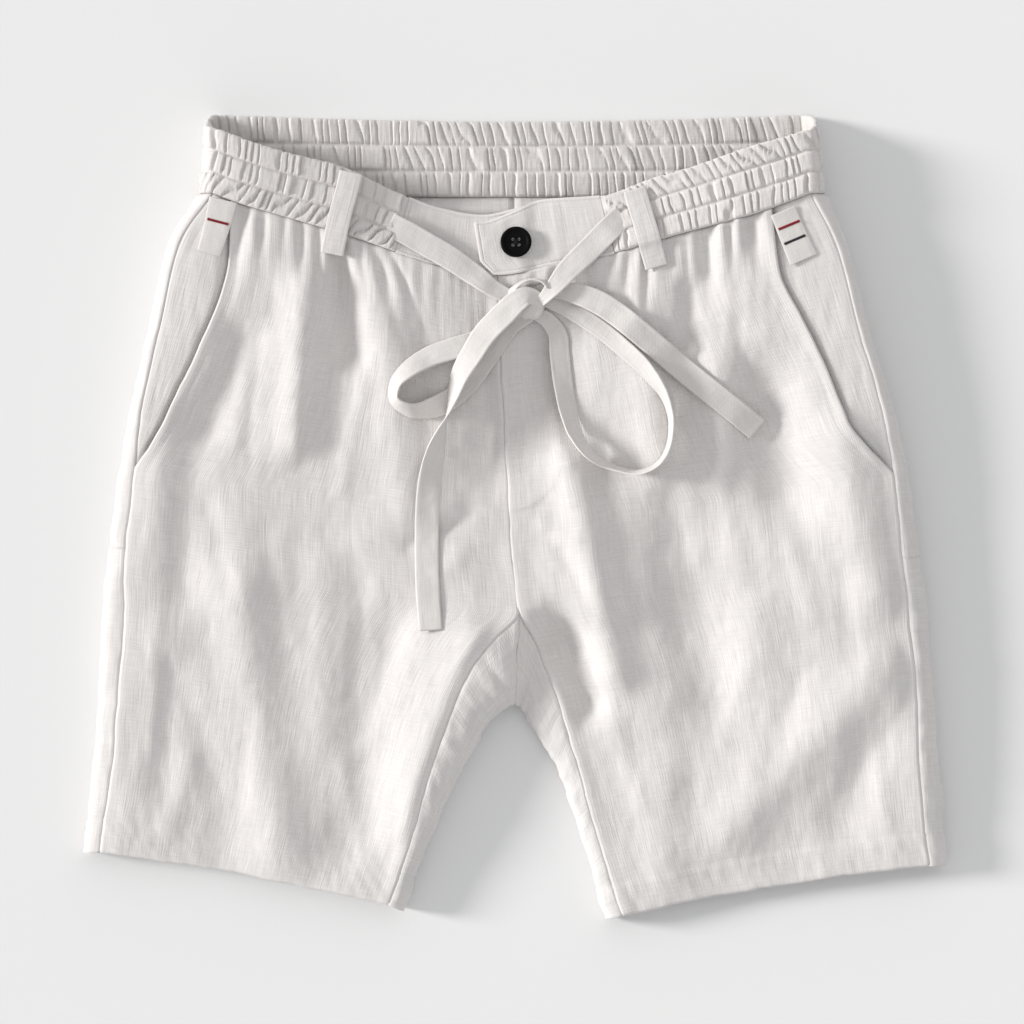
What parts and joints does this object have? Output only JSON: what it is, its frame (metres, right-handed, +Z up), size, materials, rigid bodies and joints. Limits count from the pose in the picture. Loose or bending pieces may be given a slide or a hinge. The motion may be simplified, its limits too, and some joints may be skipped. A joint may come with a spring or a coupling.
{
  "type": "bermuda shorts",
  "caption": "Loose linen bermuda shorts with a gathered elastic waistband, a flat tie in a bow, a buttoned tab, belt loops and slanted side pockets, lying flat with the front up.",
  "frame": {"origin": "middle of the outline on the surface the shorts lie on", "axes": "+X across the front, +Y from the hems to the waistband, +Z up from the surface, out of the front"},
  "size_m": [0.5534, 0.5148, 0.0392],
  "materials": {
    "linen": "matte",
    "tape": "matte",
    "tie": "matte",
    "button": "satin"
  },
  "bodies": {
    "root": {"front_left": "linen", "front_right": "linen", "side_pocket_left": "linen", "side_pocket_right": "linen", "back_left": "linen", "back_right": "linen", "waistband_left": "linen", "waistband_right": "linen", "waistband_back": "linen", "waistband_front": "linen", "waistband_tab": "linen", "belt_loop_left": "linen", "belt_loop_right": "linen", "side_tab_left": "tape", "side_tab_right": "tape", "tie_left_lead": "tie", "tie_right_lead": "tie", "tie_left_loop": "tie", "tie_right_loop": "tie", "tie_left_tail": "tie", "tie_right_tail": "tie", "tie_knot": "tie", "button": "button"}
  },
  "joints": []
}
